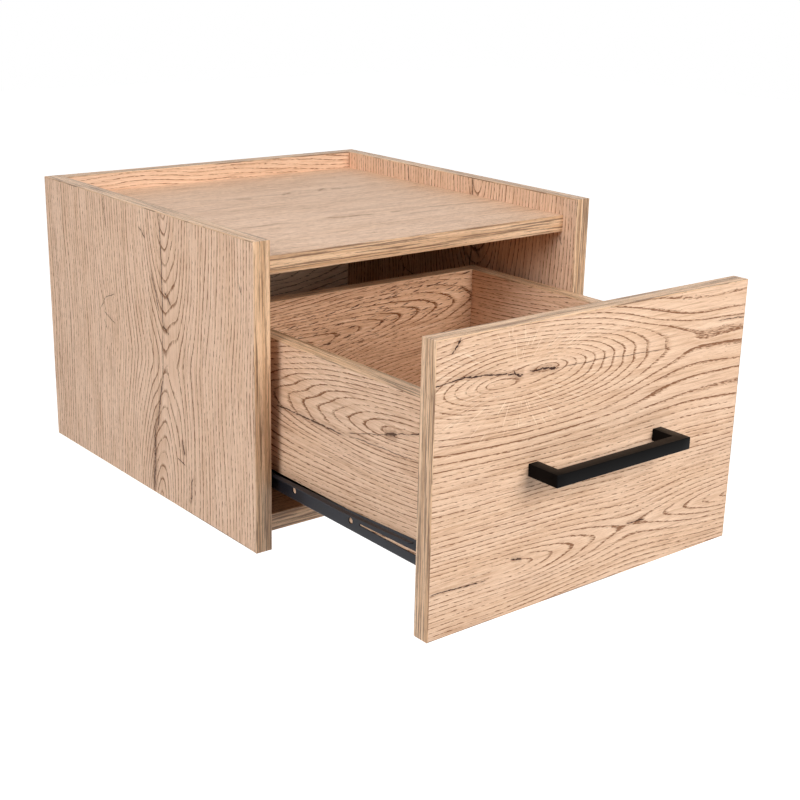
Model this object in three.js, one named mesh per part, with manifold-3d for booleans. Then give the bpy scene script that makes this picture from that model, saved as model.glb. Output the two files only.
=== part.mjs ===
// A wall-hung bedside cabinet: a board carcass with a sunk tray top, and one drawer on roller runners.
// Millimetres. X points right, Y points from the front to the wall, Z points up.
// The origin is the middle of the face that lies against the wall.
import * as THREE from "three";
import { mergeVertices } from "three/addons/utils/BufferGeometryUtils.js";
import loadManifold from "manifold-3d";

const wasm = await loadManifold();
wasm.setup();

// Carcass
const cabinetWidth = 432;
const cabinetDepth = 430;
const cabinetHeight = 306;
const boardThickness = 18;
const trayDepth = 20;
const bottomLift = 9;

// Edge bands and the gaps of glued and butted joints
const bandThickness = 1;
const bandChamfer = 0.4;
const glueLine = 0.1;
const jointGap = 0.1;

// Dowels, glued into the ends of one board and let into bores in the other
const dowelRadius = 4;
const dowelReach = 11;
const dowelFit = 0.3;
const dowelMargin = 45;
const dowelsPerPanelEnd = 3;
const dowelsPerDrawerCorner = 2;
const drawerDowelMargin = 32;

// Drawer
const frontSideGap = 2;
const frontTopGap = 3;
const frontDrop = 3;
const frontRearGap = 2.5;
const drawerSideHeight = 151;
const drawerRearSpace = 29;
const baseThickness = 3;
const baseLift = 10;
const grooveDepth = 6;
const grooveFit = 0.3;

// Handle
const handleSpacing = 160;
const handleBar = 12;
const handleProjection = 36;
const handleChamfer = 0.6;
const handleScrewRadius = 2;
const handleScrewEngagement = 9;
const handleScrewTip = 1;
const handleScrewHeadRadius = 4;
const handleScrewHeadHeight = 2.4;

// Runners
const runnerSpace = 12.5;
const runnerLift = 56;
const runnerSheet = 1.2;
const runnerSideGap = 1.1;
const runnerRearSpace = 40;
const cabinetRunnerSetback = 4;
const drawerRunnerSetback = 0.5;
const drawerRunnerHeight = 20;
const drawerLipWidth = 13;
const retainerWidth = 6;
const retainerStart = 58;
const tiltPlay = 3.5;

// Sprung front end of the drawer runner
const rampLength = 108;
const rampRise = 4.4;
const flangeSetback = 8;
const flangeCornerRadius = 4;
const slotHeight = 9.7;
const slotLength = 90;
const slotRearWidth = 2;
const slotFrontWidth = 4;
const webHoleRadius = 3.2;
const webHoleFrontInset = 104;
const webHoleRearInset = 66;
const webHoleCount = 3;

// Rollers and their pins
const rollerRadius = 8.5;
const rollerWidth = 6;
const rollerChamfer = 0.7;
const rollerRecess = 1.2;
const rollerHubRadius = 4.6;
const rollerRimWidth = 1.8;
const rollerSideGap = 0.4;
const runningGap = 0.3;
const rollerHeadroom = 1;
const frontRollerInset = 12;
const rearRollerInset = 14;
const pinRadius = 2.5;
const pinHeadRadius = 4;
const pinHeadThickness = 1;

// The rear roller's travel: where the stop holds it behind the front roller, and how far it stands from there
const fullyOpenSpacing = 65.5;
const furtherOpening = 21;
const stopHeight = 4;
const stopThickness = 2;

// Chipboard screws of the runners and the hanging plates
const woodScrewRadius = 1.75;
const woodScrewTip = 4;
const woodScrewHeadRadius = 3.5;
const woodScrewHeadHeight = 1.4;
const runnerScrewLength = 13;
const cabinetScrewFrontInset = 33;
const cabinetScrewRearInset = 93;
const drawerScrewFrontInset = 40;
const drawerScrewRearInset = 54;
const screwFit = 0.3;
const crownShare = 0.6;
const rimShare = 0.5;
const recessRadius = 1.6;
const recessWidth = 0.8;
const recessDepth = 1;

// Keyhole plates let into the back panel
const plateInset = 66;
const plateDrop = 73;
const plateWidth = 20;
const plateLength = 64;
const plateThickness = 1.5;
const plateSunk = 0.3;
const plateFit = 0.4;
const plateScrewMargin = 9;
const plateScrewLength = 15;
const keyholeEntryRadius = 5.5;
const keyholeSlotRadius = 2.75;
const keyholeLength = 13;
const pocketDepth = 8;
const pocketMargin = 2.5;

// How far a cutting shape runs past the face it opens, and how round the turned pieces are
const overrun = 1;
const roundSides = 24;
const smallSides = 12;
const curveSteps = 6;

// Planes that the sizes above give
const halfWidth = cabinetWidth / 2;
const innerHalf = halfWidth - boardThickness;
const frontY = -cabinetDepth;
const backPanelY = -boardThickness;
const topZ = cabinetHeight / 2;
const baseZ = -topZ;
const trayZ = topZ - trayDepth;
const openingTopZ = trayZ - boardThickness;
const bottomUnderZ = baseZ + bottomLift;
const bottomTopZ = bottomUnderZ + boardThickness;
const panelFrontY = frontY + boardThickness + frontRearGap;
const bandSeat = bandThickness + glueLine;

const frontHalfWidth = innerHalf - frontSideGap;
const frontTopZ = openingTopZ - frontTopGap;
const frontBottomZ = baseZ - frontDrop;
const frontBackY = frontY + boardThickness;
const drawerHalf = innerHalf - runnerSpace;
const drawerInnerHalf = drawerHalf - boardThickness;
const drawerRearY = backPanelY - drawerRearSpace;
const runnerBaseZ = baseZ + runnerLift;
const drawerSideBottomZ = runnerBaseZ + runnerSheet + jointGap;
const drawerSideTopZ = drawerSideBottomZ + drawerSideHeight;

const cabinetWebX = innerHalf - jointGap - runnerSheet;
const drawerWebX = drawerHalf + jointGap + runnerSheet;
const flangeTopZ = runnerBaseZ + drawerRunnerHeight;
const flangeUnderZ = flangeTopZ - runnerSheet;
const railTopZ = flangeUnderZ - 2 * rollerRadius - rollerHeadroom;
const frontRollerZ = flangeUnderZ - runningGap - rollerRadius;
const rearRollerZ = railTopZ + runningGap + rollerRadius;
const cabinetRunnerFrontY = frontBackY + cabinetRunnerSetback;
const cabinetRunnerRearY = backPanelY - runnerRearSpace;
const drawerRunnerFrontY = frontBackY + drawerRunnerSetback;
const drawerRunnerRearY = cabinetRunnerRearY - cabinetRunnerSetback + drawerRunnerSetback;
const frontRollerY = cabinetRunnerFrontY + frontRollerInset;
const rearRollerY = drawerRunnerRearY - rearRollerInset;
const fullTravel = rearRollerY - frontRollerY - fullyOpenSpacing;
const drawerOpening = fullTravel - furtherOpening;
const frontRollerFaceX = cabinetWebX - rollerSideGap - rollerWidth;
const rearRollerFaceX = drawerWebX + rollerSideGap + rollerWidth;

const right = new THREE.Vector3(1, 0, 0);
const left = new THREE.Vector3(-1, 0, 0);
const rearward = new THREE.Vector3(0, 1, 0);
const forward = new THREE.Vector3(0, -1, 0);
const upward = new THREE.Vector3(0, 0, 1);
const downward = new THREE.Vector3(0, 0, -1);

// Finishes
const finishes = {
  oak: new THREE.MeshStandardMaterial({ color: 0xd3b08c, roughness: 0.6, metalness: 0 }),
  oakBand: new THREE.MeshStandardMaterial({ color: 0xb99b72, roughness: 0.6, metalness: 0 }),
  hardboard: new THREE.MeshStandardMaterial({ color: 0xc9a98a, roughness: 0.7, metalness: 0 }),
  blackSteel: new THREE.MeshStandardMaterial({ color: 0x1c1c1e, roughness: 0.45, metalness: 0.6 }),
  blackNylon: new THREE.MeshStandardMaterial({ color: 0x26262a, roughness: 0.5, metalness: 0 }),
  zinc: new THREE.MeshStandardMaterial({ color: 0xb8bcc0, roughness: 0.35, metalness: 1 }),
};

const nightstand = new THREE.Group();
const drawer = new THREE.Group();
drawer.position.y = -drawerOpening;
nightstand.add(drawer);

function addPiece(group, name, geometry, finish) {
  const mesh = new THREE.Mesh(geometry, finishes[finish]);
  mesh.name = name;
  group.add(mesh);
}

// Turns a closed geometry into a solid that can be joined and cut.
function solidOf(geometry) {
  const bare = geometry.clone();
  bare.deleteAttribute("normal");
  bare.deleteAttribute("uv");
  const merged = mergeVertices(bare);
  const index = merged.index.array;
  const corners = [];
  for (let i = 0; i < index.length; i += 3) {
    const [a, b, c] = [index[i], index[i + 1], index[i + 2]];
    if (a !== b && b !== c && c !== a) corners.push(a, b, c);
  }
  const vertProperties = new Float32Array(merged.attributes.position.array);
  const triVerts = new Uint32Array(corners);
  return new wasm.Manifold(new wasm.Mesh({ numProp: 3, vertProperties, triVerts }));
}

function geometryOf(solid) {
  const mesh = solid.getMesh();
  const geometry = new THREE.BufferGeometry();
  geometry.setAttribute("position", new THREE.BufferAttribute(mesh.vertProperties, 3));
  geometry.setIndex(new THREE.BufferAttribute(mesh.triVerts, 1));
  geometry.computeVertexNormals();
  return geometry;
}

function joined(geometry, additions) {
  const whole = additions.reduce((solid, piece) => solid.add(solidOf(piece)), solidOf(geometry));
  return geometryOf(whole);
}

function cut(geometry, tools) {
  const rest = tools.reduce((solid, tool) => solid.subtract(solidOf(tool)), solidOf(geometry));
  return geometryOf(rest);
}

function common(geometry, other) {
  return geometryOf(solidOf(geometry).intersect(solidOf(other)));
}

// The left-hand twin of a right-hand piece.
function mirrored(geometry) {
  const twin = geometry.index ? geometry.toNonIndexed() : geometry.clone();
  twin.scale(-1, 1, 1);
  const places = twin.attributes.position;
  for (let i = 0; i < places.count; i += 3) {
    const second = new THREE.Vector3().fromBufferAttribute(places, i + 1);
    const third = new THREE.Vector3().fromBufferAttribute(places, i + 2);
    places.setXYZ(i + 1, third.x, third.y, third.z);
    places.setXYZ(i + 2, second.x, second.y, second.z);
  }
  twin.computeVertexNormals();
  return twin;
}

function addPair(group, name, rightGeometry, finish) {
  addPiece(group, `left_${name}`, mirrored(rightGeometry), finish);
  addPiece(group, `right_${name}`, rightGeometry, finish);
}

// A board or block between two planes on each axis.
function block({ x, y, z }) {
  const geometry = new THREE.BoxGeometry(x[1] - x[0], y[1] - y[0], z[1] - z[0]);
  return geometry.translate((x[0] + x[1]) / 2, (y[0] + y[1]) / 2, (z[0] + z[1]) / 2);
}

function grown({ x, y, z }, by) {
  return { x: [x[0] - by, x[1] + by], y: [y[0] - by, y[1] + by], z: [z[0] - by, z[1] + by] };
}

function flatPlate(outline, depth) {
  return new THREE.ExtrudeGeometry(outline, { depth, bevelEnabled: false, curveSegments: curveSteps });
}

// A prism whose outline lies in the Y-Z plane, between two planes on X.
function plateAcrossX(outline, [x0, x1]) {
  const axes = new THREE.Matrix4().makeBasis(
    new THREE.Vector3(0, 1, 0), new THREE.Vector3(0, 0, 1), new THREE.Vector3(1, 0, 0));
  return flatPlate(outline, x1 - x0).applyMatrix4(axes).translate(x0, 0, 0);
}

// A prism whose outline lies in the X-Z plane, seen from the front, between two planes on Y.
function plateAcrossY(outline, [y0, y1]) {
  return flatPlate(outline, y1 - y0).rotateX(Math.PI / 2).translate(0, y1, 0);
}

// A prism whose outline lies in the X-Y plane, between two planes on Z.
function plateAcrossZ(outline, [z0, z1]) {
  return flatPlate(outline, z1 - z0).translate(0, 0, z0);
}

// A piece turned on a lathe: its profile gives radius and height, and it stands on the X-Z plane along +Y.
function turned(profile, sides) {
  return new THREE.LatheGeometry(profile.map(([radius, height]) => new THREE.Vector2(radius, height)), sides);
}

function rod(radius, length) {
  return turned([[0, 0], [radius, 0], [radius, length], [0, length]], smallSides);
}

// Turns a piece from +Y to the given direction and moves its foot to the given place.
function placed(geometry, place, axis) {
  const turn = new THREE.Quaternion().setFromUnitVectors(rearward, axis);
  return geometry.applyQuaternion(turn).translate(place.x, place.y, place.z);
}

// A rod that starts one overrun before the given place, to open a face cleanly.
function bore(radius, depth, place, axis) {
  const start = axis.clone().multiplyScalar(-overrun).add(place);
  return placed(rod(radius, depth + overrun), start, axis);
}

// Places spread evenly from one end to the other.
function spread(from, to, count) {
  return Array.from({ length: count }, (_, i) => from + ((to - from) * i) / (count - 1));
}

// An edge band: flat towards its board, with its two long outer edges broken.
function edgeBand(box, outward, along) {
  const across = new THREE.Vector3().crossVectors(outward, along);
  const size = new THREE.Vector3(box.x[1] - box.x[0], box.y[1] - box.y[0], box.z[1] - box.z[0]);
  const halfBand = Math.abs(size.dot(across)) / 2;
  const halfThick = Math.abs(size.dot(outward)) / 2;
  const length = Math.abs(size.dot(along));
  const outline = new THREE.Shape();
  outline.moveTo(-halfBand, -halfThick);
  outline.lineTo(halfBand, -halfThick);
  outline.lineTo(halfBand, halfThick - bandChamfer);
  outline.lineTo(halfBand - bandChamfer, halfThick);
  outline.lineTo(bandChamfer - halfBand, halfThick);
  outline.lineTo(-halfBand, halfThick - bandChamfer);
  outline.closePath();
  const geometry = flatPlate(outline, length).translate(0, 0, -length / 2);
  geometry.applyMatrix4(new THREE.Matrix4().makeBasis(across, outward, along));
  const middle = new THREE.Vector3(box.x[0] + box.x[1], box.y[0] + box.y[1], box.z[0] + box.z[1]);
  middle.multiplyScalar(1 / 2);
  return geometry.translate(middle.x, middle.y, middle.z);
}

// A dowel that stands out of a face, and the bore that takes it.
function dowel(place, axis) {
  const start = axis.clone().multiplyScalar(-dowelRadius).add(place);
  return placed(rod(dowelRadius, dowelRadius + dowelReach), start, axis);
}

function dowelBore(place, axis) {
  return bore(dowelRadius + dowelFit, dowelReach + dowelFit, place, axis);
}

function dowelsAtBothEnds(places) {
  const rightEnds = places.map((place) => dowel(place, right));
  return [...rightEnds, ...rightEnds.map(mirrored)];
}

// Screws stand head down on the X-Z plane, point towards +Y, and have a cross recess.
function driveRecess(topHeight) {
  const reach = [topHeight - overrun, topHeight + recessDepth];
  const longWay = [-recessRadius, recessRadius];
  const shortWay = [-recessWidth / 2, recessWidth / 2];
  return [block({ x: longWay, y: reach, z: shortWay }), block({ x: shortWay, y: reach, z: longWay })];
}

function panHeadScrew({ shank, length, tip, head, headHeight }) {
  const crown = turned([
    [0, -headHeight],
    [head * crownShare, -headHeight],
    [head, -headHeight * rimShare],
    [head, 0],
    [shank, 0],
    [shank, length - tip],
    [0, length],
  ], smallSides);
  return cut(crown, driveRecess(-headHeight));
}

function woodScrewBore(depth, place, axis) {
  return bore(woodScrewRadius + screwFit, depth, place, axis);
}

function sunkHeadProfile({ shank, length, tip, head, headHeight }, grow) {
  return [
    [0, -grow],
    [head + grow, -grow],
    [head + grow, grow],
    [shank + grow, headHeight + grow],
    [shank + grow, length - tip + grow],
    [0, length + grow],
  ];
}

const handleScrew = {
  shank: handleScrewRadius,
  length: boardThickness + 2 * jointGap + handleScrewEngagement,
  tip: handleScrewTip,
  head: handleScrewHeadRadius,
  headHeight: handleScrewHeadHeight,
};
const runnerScrew = {
  shank: woodScrewRadius,
  length: runnerScrewLength,
  tip: woodScrewTip,
  head: woodScrewHeadRadius,
  headHeight: woodScrewHeadHeight,
};
const plateScrew = { ...runnerScrew, length: plateScrewLength };

// Places where the boards are dowelled together, on the right-hand side.
const panelRearY = backPanelY - jointGap;
const panelEndX = innerHalf - jointGap;
const panelDowelRows = spread(panelFrontY + dowelMargin, panelRearY - dowelMargin, dowelsPerPanelEnd);
const backDowelRows = spread(bottomUnderZ + dowelMargin, topZ - dowelMargin, dowelsPerPanelEnd);
const topMiddleZ = trayZ - boardThickness / 2;
const topDowels = panelDowelRows.map((y) => new THREE.Vector3(panelEndX, y, topMiddleZ));
const bottomMiddleZ = bottomTopZ - boardThickness / 2;
const bottomDowels = panelDowelRows.map((y) => new THREE.Vector3(panelEndX, y, bottomMiddleZ));
const backDowels = backDowelRows.map((z) => new THREE.Vector3(panelEndX, backPanelY / 2, z));

// Places of the cabinet runner's screws.
const retainerUnderZ = flangeTopZ + tiltPlay;
const cabinetScrewRows = [
  cabinetRunnerFrontY + cabinetScrewFrontInset,
  cabinetRunnerRearY - cabinetScrewRearInset,
];
const cabinetScrews = cabinetScrewRows.map((y) =>
  new THREE.Vector3(cabinetWebX - jointGap, y, (railTopZ + retainerUnderZ) / 2));

// Side panels: chipboard faced on both sides, banded at the front, top and bottom.
function addSidePanels() {
  const core = block({
    x: [innerHalf, halfWidth],
    y: [frontY + bandSeat, 0],
    z: [baseZ + bandSeat, topZ - bandSeat],
  });
  const dowelBores = [...topDowels, ...bottomDowels, ...backDowels].map(({ y, z }) =>
    dowelBore(new THREE.Vector3(innerHalf, y, z), right));
  const pilotBores = cabinetScrews.map((place) => woodScrewBore(runnerScrewLength, place, right));
  addPair(nightstand, "side_panel", cut(core, [...dowelBores, ...pilotBores]), "oak");

  const x = [innerHalf, halfWidth];
  const behindFrontBand = [frontY + bandSeat, 0];
  const frontStrip = { x, y: [frontY, frontY + bandThickness], z: [baseZ, topZ] };
  const topStrip = { x, y: behindFrontBand, z: [topZ - bandThickness, topZ] };
  const bottomStrip = { x, y: behindFrontBand, z: [baseZ, baseZ + bandThickness] };
  addPair(nightstand, "side_front_band", edgeBand(frontStrip, forward, upward), "oakBand");
  addPair(nightstand, "side_top_band", edgeBand(topStrip, upward, rearward), "oakBand");
  addPair(nightstand, "side_bottom_band", edgeBand(bottomStrip, downward, rearward), "oakBand");
}

// Top and bottom panels: let in between the sides, set back behind the closed drawer front.
function addLevelPanel(name, upperZ, dowels) {
  const x = [-panelEndX, panelEndX];
  const z = [upperZ - boardThickness, upperZ];
  const core = block({ x, y: [panelFrontY + bandSeat, panelRearY], z });
  addPiece(nightstand, name, joined(core, dowelsAtBothEnds(dowels)), "oak");
  const strip = { x, y: [panelFrontY, panelFrontY + bandThickness], z };
  addPiece(nightstand, `${name}_front_band`, edgeBand(strip, forward, right), "oakBand");
}

// Keyhole plates: where they lie, and the outlines that they and their pocket share.
const plateX = halfWidth - plateInset;
const plateZ = topZ - plateDrop;
const plateFace = [-plateSunk - plateThickness, -plateSunk];
const plateScrewRise = plateLength / 2 - plateScrewMargin;
const plateScrews = [plateZ - plateScrewRise, plateZ + plateScrewRise].map((z) =>
  new THREE.Vector3(plateX, -plateSunk, z));
const keyholeEntryZ = plateZ - keyholeLength / 2;
const keyholeSlotZ = keyholeEntryZ + keyholeLength;

// A slot with round ends that stands upright on the X-Z plane.
function uprightSlot(x, lowZ, highZ, radius) {
  const outline = new THREE.Shape();
  outline.absarc(x, highZ, radius, 0, Math.PI, false);
  outline.absarc(x, lowZ, radius, Math.PI, 2 * Math.PI, false);
  return outline;
}

function keyhole() {
  const halfNeck = Math.asin(keyholeSlotRadius / keyholeEntryRadius);
  const entryArc = [Math.PI / 2 + halfNeck, 5 * Math.PI / 2 - halfNeck];
  const outline = new THREE.Path();
  outline.absarc(plateX, keyholeSlotZ, keyholeSlotRadius, 0, Math.PI, false);
  outline.absarc(plateX, keyholeEntryZ, keyholeEntryRadius, ...entryArc, false);
  return outline;
}

// Back panel: stands between the sides up to their full height and forms the tray's rear rail.
function addBackPanel() {
  const x = [-panelEndX, panelEndX];
  const core = block({ x, y: [backPanelY, 0], z: [bottomUnderZ, topZ - bandSeat] });
  const plateEndRise = plateLength / 2 - plateWidth / 2;
  const recess = plateAcrossY(
    uprightSlot(plateX, plateZ - plateEndRise, plateZ + plateEndRise, plateWidth / 2 + plateFit),
    [plateFace[0] - jointGap, overrun]);
  const pocket = plateAcrossY(
    uprightSlot(plateX, keyholeEntryZ, keyholeSlotZ, keyholeEntryRadius + pocketMargin),
    [plateFace[0] - pocketDepth, overrun]);
  const pilots = plateScrews.map((place) => woodScrewBore(plateScrewLength, place, forward));
  const rightCuts = [recess, pocket, ...pilots];
  const drilled = cut(core, [...rightCuts, ...rightCuts.map(mirrored)]);
  addPiece(nightstand, "back_panel", joined(drilled, dowelsAtBothEnds(backDowels)), "oak");
  const strip = { x, y: [backPanelY, 0], z: [topZ - bandThickness, topZ] };
  addPiece(nightstand, "back_panel_top_band", edgeBand(strip, upward, right), "oakBand");
}

// Hanging plates: punched steel keyhole plates that drop over two screws in the wall.
function addHangingPlates() {
  const plateEndRise = plateLength / 2 - plateWidth / 2;
  const outline = uprightSlot(plateX, plateZ - plateEndRise, plateZ + plateEndRise, plateWidth / 2);
  outline.holes.push(keyhole());
  const sunkBores = plateScrews.map((place) =>
    placed(turned(sunkHeadProfile(plateScrew, screwFit), smallSides), place, forward));
  addPair(nightstand, "hanging_plate", cut(plateAcrossY(outline, plateFace), sunkBores), "zinc");
  ["lower", "upper"].forEach((level, i) => {
    const blank = turned(sunkHeadProfile(plateScrew, 0), smallSides);
    const screw = placed(cut(blank, driveRecess(0)), plateScrews[i], forward);
    addPair(nightstand, `hanging_plate_${level}_screw`, screw, "zinc");
  });
}

// Drawer base: a thin hardboard sheet, held in grooves of all four drawer boards.
const drawerBackY = drawerRearY - boardThickness;
const baseZBottom = drawerSideBottomZ + baseLift;
const grooveReach = grooveDepth - grooveFit;
const baseSheet = {
  x: [-drawerInnerHalf - grooveReach, drawerInnerHalf + grooveReach],
  y: [frontBackY - grooveReach, drawerBackY + grooveReach],
  z: [baseZBottom, baseZBottom + baseThickness],
};
const groove = () => block(grown(baseSheet, grooveFit));

// Dowels of the drawer's corners.
const cornerRows = spread(
  drawerSideBottomZ + drawerDowelMargin, drawerSideTopZ - drawerDowelMargin, dowelsPerDrawerCorner);
const drawerEndX = drawerInnerHalf - jointGap;
const sideFrontY = frontBackY + jointGap;
const frontDowels = cornerRows.map((z) => new THREE.Vector3(drawerHalf - boardThickness / 2, sideFrontY, z));
const rearDowels = cornerRows.map((z) => new THREE.Vector3(drawerEndX, drawerRearY - boardThickness / 2, z));

// Drawer front: closes flush between the sides and covers the edges of the top and bottom panels.
const handleZ = (frontBottomZ + frontTopZ) / 2;
const handleScrews = [left, right].map((side) =>
  new THREE.Vector3(side.x * handleSpacing / 2, frontBackY + jointGap, handleZ));

function addDrawerFront() {
  const y = [frontY, frontBackY];
  const coreHalf = frontHalfWidth - bandSeat;
  const core = block({ x: [-coreHalf, coreHalf], y, z: [frontBottomZ + bandSeat, frontTopZ - bandSeat] });
  const rightBores = frontDowels.map(({ x, z }) => dowelBore(new THREE.Vector3(x, frontBackY, z), forward));
  const handleBores = handleScrews.map((place) =>
    bore(handleScrewRadius + screwFit, boardThickness + overrun, place, forward));
  const tools = [groove(), ...rightBores, ...rightBores.map(mirrored), ...handleBores];
  addPiece(drawer, "drawer_front", cut(core, tools), "oak");

  const upright = { x: [frontHalfWidth - bandThickness, frontHalfWidth], y, z: [frontBottomZ, frontTopZ] };
  const topStrip = { x: [-coreHalf, coreHalf], y, z: [frontTopZ - bandThickness, frontTopZ] };
  const bottomStrip = { x: [-coreHalf, coreHalf], y, z: [frontBottomZ, frontBottomZ + bandThickness] };
  addPair(drawer, "drawer_front_band", edgeBand(upright, right, upward), "oakBand");
  addPiece(drawer, "drawer_front_top_band", edgeBand(topStrip, upward, right), "oakBand");
  addPiece(drawer, "drawer_front_bottom_band", edgeBand(bottomStrip, downward, right), "oakBand");
}

// Drawer sides: dowelled into the front, banded along the top.
const drawerScrewRows = [
  drawerRunnerFrontY + drawerScrewFrontInset,
  drawerRunnerRearY - drawerScrewRearInset,
];
const drawerScrews = drawerScrewRows.map((y) =>
  new THREE.Vector3(drawerHalf - boardThickness / 2, y, runnerBaseZ - jointGap));

function addDrawerSides() {
  const x = [drawerInnerHalf, drawerHalf];
  const y = [sideFrontY, drawerRearY];
  const core = block({ x, y, z: [drawerSideBottomZ, drawerSideTopZ - bandSeat] });
  const rearBores = rearDowels.map((place) =>
    dowelBore(new THREE.Vector3(drawerInnerHalf, place.y, place.z), right));
  const pilots = drawerScrews.map((place) => woodScrewBore(runnerScrewLength, place, upward));
  const drilled = cut(core, [groove(), ...rearBores, ...pilots]);
  addPair(drawer, "drawer_side", joined(drilled, frontDowels.map((place) => dowel(place, forward))), "oak");
  const strip = { x, y, z: [drawerSideTopZ - bandThickness, drawerSideTopZ] };
  addPair(drawer, "drawer_side_top_band", edgeBand(strip, upward, rearward), "oakBand");
}

// Drawer back: stands between the sides.
function addDrawerBack() {
  const x = [-drawerEndX, drawerEndX];
  const y = [drawerBackY, drawerRearY];
  const core = cut(block({ x, y, z: [drawerSideBottomZ, drawerSideTopZ - bandSeat] }), [groove()]);
  addPiece(drawer, "drawer_back", joined(core, dowelsAtBothEnds(rearDowels)), "oak");
  const strip = { x, y, z: [drawerSideTopZ - bandThickness, drawerSideTopZ] };
  addPiece(drawer, "drawer_back_top_band", edgeBand(strip, upward, right), "oakBand");
}

// Handle: a square steel bar bent to a flat U, screwed on through the drawer front.
function addHandle() {
  const outerX = handleSpacing / 2 + handleBar / 2;
  const innerX = handleSpacing / 2 - handleBar / 2;
  const footY = frontY - jointGap;
  const outerY = frontY - handleProjection;
  const innerY = outerY + handleBar;
  const outline = new THREE.Shape();
  outline.moveTo(-outerX, footY);
  outline.lineTo(-outerX, outerY);
  outline.lineTo(outerX, outerY);
  outline.lineTo(outerX, footY);
  outline.lineTo(innerX, footY);
  outline.lineTo(innerX, innerY);
  outline.lineTo(-innerX, innerY);
  outline.lineTo(-innerX, footY);
  outline.closePath();
  const bar = new THREE.ExtrudeGeometry(outline, {
    depth: handleBar - 2 * handleChamfer,
    bevelThickness: handleChamfer,
    bevelSize: handleChamfer,
    bevelOffset: -handleChamfer,
    bevelSegments: 1,
  });
  bar.translate(0, 0, handleZ - handleBar / 2 + handleChamfer);
  const threadDepth = handleScrewEngagement + screwFit;
  const threads = handleScrews.map(({ x, z }) =>
    bore(handleScrewRadius + screwFit, threadDepth, new THREE.Vector3(x, footY, z), forward));
  addPiece(drawer, "handle", cut(bar, threads), "blackSteel");
  ["left", "right"].forEach((side, i) => {
    const screw = placed(panHeadScrew(handleScrew), handleScrews[i], forward);
    addPiece(drawer, `handle_screw_${side}`, screw, "zinc");
  });
}

// Cabinet runner: a folded steel channel with a rail below, a retaining flange above and a stop at each end.
function addCabinetRunners() {
  const railInnerX = drawerWebX + runnerSideGap;
  const outerX = cabinetWebX + runnerSheet;
  const y = [cabinetRunnerFrontY, cabinetRunnerRearY];
  const fold = new THREE.Shape();
  fold.moveTo(outerX, railTopZ - runnerSheet);
  fold.lineTo(outerX, retainerUnderZ + runnerSheet);
  fold.lineTo(cabinetWebX, retainerUnderZ + runnerSheet);
  fold.lineTo(cabinetWebX, railTopZ);
  fold.lineTo(railInnerX, railTopZ);
  fold.lineTo(railInnerX, railTopZ - runnerSheet);
  fold.closePath();
  const retainer = block({
    x: [cabinetWebX - retainerWidth, outerX],
    y: [cabinetRunnerFrontY + retainerStart, cabinetRunnerRearY],
    z: [retainerUnderZ, retainerUnderZ + runnerSheet],
  });
  const stopRise = stopHeight - runningGap;
  const stopReach = Math.sqrt(rollerRadius ** 2 - (rollerRadius - stopRise) ** 2) + runningGap;
  const openStopY = rearRollerY - fullTravel - stopReach;
  const closedStopY = rearRollerY + stopReach;
  const stops = [openStopY - stopThickness, closedStopY].map((stopY) => block({
    x: [railInnerX, outerX],
    y: [stopY, stopY + stopThickness],
    z: [railTopZ - runnerSheet, railTopZ + stopHeight],
  }));
  const pinPlace = new THREE.Vector3(cabinetWebX, frontRollerY, frontRollerZ);
  const pinHole = bore(pinRadius + screwFit, runnerSheet + overrun, pinPlace, right);
  const screwHoles = cabinetScrews.map((place) => woodScrewBore(runnerSheet + overrun, place, right));
  const channel = joined(plateAcrossY(fold, y), [retainer, ...stops]);
  addPair(nightstand, "cabinet_runner", cut(channel, [pinHole, ...screwHoles]), "blackSteel");
  ["front", "rear"].forEach((end, i) => {
    const screw = placed(panHeadScrew(runnerScrew), cabinetScrews[i], right);
    addPair(nightstand, `cabinet_runner_${end}_screw`, screw, "zinc");
  });
}

// The drawer runner's web, seen from the side: its front end is slit, and the part above the slit slopes up.
function drawerWebOutline() {
  const frontEnd = drawerRunnerFrontY;
  const rampFoot = frontEnd + rampLength;
  const rampHead = frontEnd + flangeSetback;
  const slotEnd = frontEnd + slotLength;
  const slotLowZ = runnerBaseZ + slotHeight;
  const outline = new THREE.Shape();
  outline.moveTo(frontEnd, runnerBaseZ);
  outline.lineTo(drawerRunnerRearY, runnerBaseZ);
  outline.lineTo(drawerRunnerRearY, flangeTopZ);
  outline.lineTo(rampFoot, flangeTopZ);
  outline.lineTo(rampHead, flangeTopZ + rampRise);
  outline.lineTo(rampHead, slotLowZ + slotFrontWidth);
  outline.lineTo(slotEnd, slotLowZ + slotRearWidth);
  outline.absarc(slotEnd, slotLowZ + slotRearWidth / 2, slotRearWidth / 2, Math.PI / 2, -Math.PI / 2, true);
  outline.lineTo(frontEnd, slotLowZ);
  outline.closePath();
  const holeRows = spread(frontEnd + webHoleFrontInset, drawerRunnerRearY - webHoleRearInset, webHoleCount);
  outline.holes = holeRows.map((y) => {
    const hole = new THREE.Path();
    hole.absarc(y, runnerBaseZ + drawerRunnerHeight / 2, webHoleRadius, 0, 2 * Math.PI, false);
    return hole;
  });
  return outline;
}

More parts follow.
